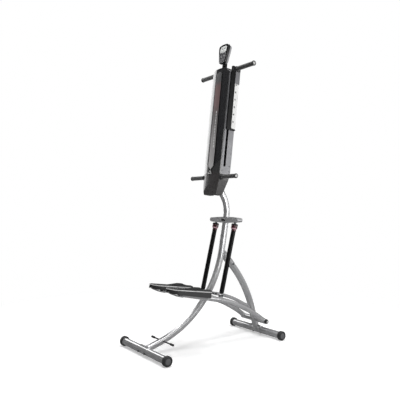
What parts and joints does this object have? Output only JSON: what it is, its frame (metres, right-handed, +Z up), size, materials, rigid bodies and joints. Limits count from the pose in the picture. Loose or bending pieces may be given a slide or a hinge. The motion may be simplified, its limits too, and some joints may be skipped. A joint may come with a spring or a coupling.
{
  "type": "vertical climber",
  "caption": "Freestanding vertical climber: leaning tower with sliding hand grips on a curved upright, pivoted pedal arms with hydraulic cylinders, and a small console.",
  "frame": {"origin": "on the floor, midway between the two stabilizer tubes and midway across the machine (the bottom centre of the bounding box)", "axes": "+Z up; +Y from the user's side towards the rear leg; +X to the right of a user who faces the tower"},
  "size_m": [0.604, 1.0528, 2.1702],
  "materials": {
    "steel_frame": "silver powder coat, satin",
    "cap_rubber": "moulded, matt",
    "bolt_steel": "black oxide",
    "axle_steel": "turned steel",
    "steel_inner": "plain steel",
    "cover_black": "gloss moulded cover",
    "decal_grey": "printed panel, satin",
    "accent_chrome": "plated trim",
    "housing_dark": "moulded, satin",
    "side_silver": "silver paint, satin",
    "rear_grey": "moulded, satin",
    "console_black": "gloss moulded case",
    "steel_dark": "black powder coat, satin",
    "foam": "foam grip",
    "plug_light": "moulded plug",
    "console_grey": "moulded shell",
    "display": "display window",
    "key_grey": "moulded keys",
    "key_dark": "moulded key",
    "rail_white": "white powder coat",
    "bronze": "sintered bushing",
    "pedal_black": "moulded tread",
    "cylinder_black": "gloss black paint",
    "dial_red": "dark red knob",
    "rod_chrome": "hard chrome"
  },
  "bodies": {
    "frame": {"front_stabilizer": "steel_frame", "rear_stabilizer": "steel_frame", "foot_caps": "cap_rubber", "saddles": "steel_frame", "main_upright": "steel_frame", "rear_leg": "steel_frame", "leg_sleeve": "steel_frame", "centre_brace": "steel_frame", "crossbar": "steel_frame", "frame_bolts": "bolt_steel", "stop_rod": "bolt_steel", "stop_tips": "cap_rubber", "pivot_axle": "axle_steel", "axle_caps": "cap_rubber", "tower_column": "steel_inner", "rail_frame": "steel_inner", "slide_bumpers": "cap_rubber", "front_cover": "cover_black", "decal_panel": "decal_grey", "chrome_accents": "accent_chrome", "lower_housing": "housing_dark", "rear_cover": "rear_grey", "top_cap": "console_black", "lower_handle_bar": "steel_dark", "lower_grips": "foam", "lower_grip_plugs": "plug_light", "console_case": "console_black", "console_back": "console_grey", "console_lens": "display", "side_panel_left": "side_silver", "side_panel_right": "side_silver"},
    "key_a": {"console_key_a": "key_grey"},
    "key_b": {"console_key_b": "key_grey"},
    "key_c": {"console_key_c": "key_dark"},
    "slider_left": {"carriage_left": "console_black", "adjust_bar_left": "rail_white", "handle_sleeve_left": "side_silver", "handle_bar_left": "steel_dark", "grip_left": "foam", "grip_plug_left": "plug_light"},
    "step_left": {"pedal_arm_left": "steel_frame", "arm_bushes_left": "bronze", "pedal_left": "pedal_black", "clevis_bolt_left": "bolt_steel"},
    "rod_left": {"piston_rod_left": "rod_chrome"},
    "damper_left": {"cylinder_left": "cylinder_black"},
    "knob_left": {"dial_left": "dial_red"},
    "slider_right": {"carriage_right": "console_black", "adjust_bar_right": "rail_white", "handle_sleeve_right": "side_silver", "handle_bar_right": "steel_dark", "grip_right": "foam", "grip_plug_right": "plug_light"},
    "step_right": {"pedal_arm_right": "steel_frame", "arm_bushes_right": "bronze", "pedal_right": "pedal_black", "clevis_bolt_right": "bolt_steel"},
    "rod_right": {"piston_rod_right": "rod_chrome"},
    "damper_right": {"cylinder_right": "cylinder_black"},
    "knob_right": {"dial_right": "dial_red"}
  },
  "joints": [
    {"name": "key_a_press", "type": "slide", "parent": "frame", "child": "key_a", "axis": [0, 0.9848, -0.1736], "range_m": [0, 0.0015], "stiffness_N_per_m": 400, "springref_m": -0.0015},
    {"name": "key_b_press", "type": "slide", "parent": "frame", "child": "key_b", "axis": [0, 0.9848, -0.1736], "range_m": [0, 0.0015], "stiffness_N_per_m": 400, "springref_m": -0.0015},
    {"name": "key_c_press", "type": "slide", "parent": "frame", "child": "key_c", "axis": [0, 0.9848, -0.1736], "range_m": [0, 0.0015], "stiffness_N_per_m": 400, "springref_m": -0.0015},
    {"name": "handle_left_slide", "type": "slide", "parent": "frame", "child": "slider_left", "axis": [0, 0.1149, 0.9934], "range_m": [-0.24, 0]},
    {"name": "pedal_left_swing", "type": "hinge", "parent": "frame", "child": "step_left", "pos_m": [-0.11, 0.472, 0.113], "axis": [-1, 0, 0], "range_deg": [-20, 0]},
    {"name": "rod_left_swing", "type": "hinge", "parent": "step_left", "child": "rod_left", "pos_m": [-0.11, 0.05902, 0.35014], "axis": [-1, 0, 0], "range_deg": [0, 21.85]},
    {"name": "cylinder_left_stroke", "type": "slide", "parent": "rod_left", "child": "damper_left", "axis": [0, 0.2462, 0.9692], "range_m": [0, 0.1647]},
    {"name": "dial_left_turn", "type": "hinge", "parent": "damper_left", "child": "knob_left", "pos_m": [-0.11, 0.18076, 0.82948], "axis": [0, 0.2462, 0.9692], "range_deg": [0, 300]},
    {"name": "handle_right_slide", "type": "slide", "parent": "frame", "child": "slider_right", "axis": [0, 0.1149, 0.9934], "range_m": [-0.24, 0]},
    {"name": "pedal_right_swing", "type": "hinge", "parent": "frame", "child": "step_right", "pos_m": [0.11, 0.472, 0.113], "axis": [-1, 0, 0], "range_deg": [-20, 0]},
    {"name": "rod_right_swing", "type": "hinge", "parent": "step_right", "child": "rod_right", "pos_m": [0.11, 0.05902, 0.35014], "axis": [-1, 0, 0], "range_deg": [0, 21.85]},
    {"name": "cylinder_right_stroke", "type": "slide", "parent": "rod_right", "child": "damper_right", "axis": [0, 0.2462, 0.9692], "range_m": [0, 0.1647]},
    {"name": "dial_right_turn", "type": "hinge", "parent": "damper_right", "child": "knob_right", "pos_m": [0.11, 0.18076, 0.82948], "axis": [0, 0.2462, 0.9692], "range_deg": [0, 300]}
  ],
  "couplings": [
    {"joint": "rod_left_swing", "follows": "pedal_left_swing", "ratio": -1.0902},
    {"joint": "cylinder_left_stroke", "follows": "pedal_left_swing", "m_per_rad": -0.47045},
    {"joint": "rod_right_swing", "follows": "pedal_right_swing", "ratio": -1.0902},
    {"joint": "cylinder_right_stroke", "follows": "pedal_right_swing", "m_per_rad": -0.47045}
  ]
}
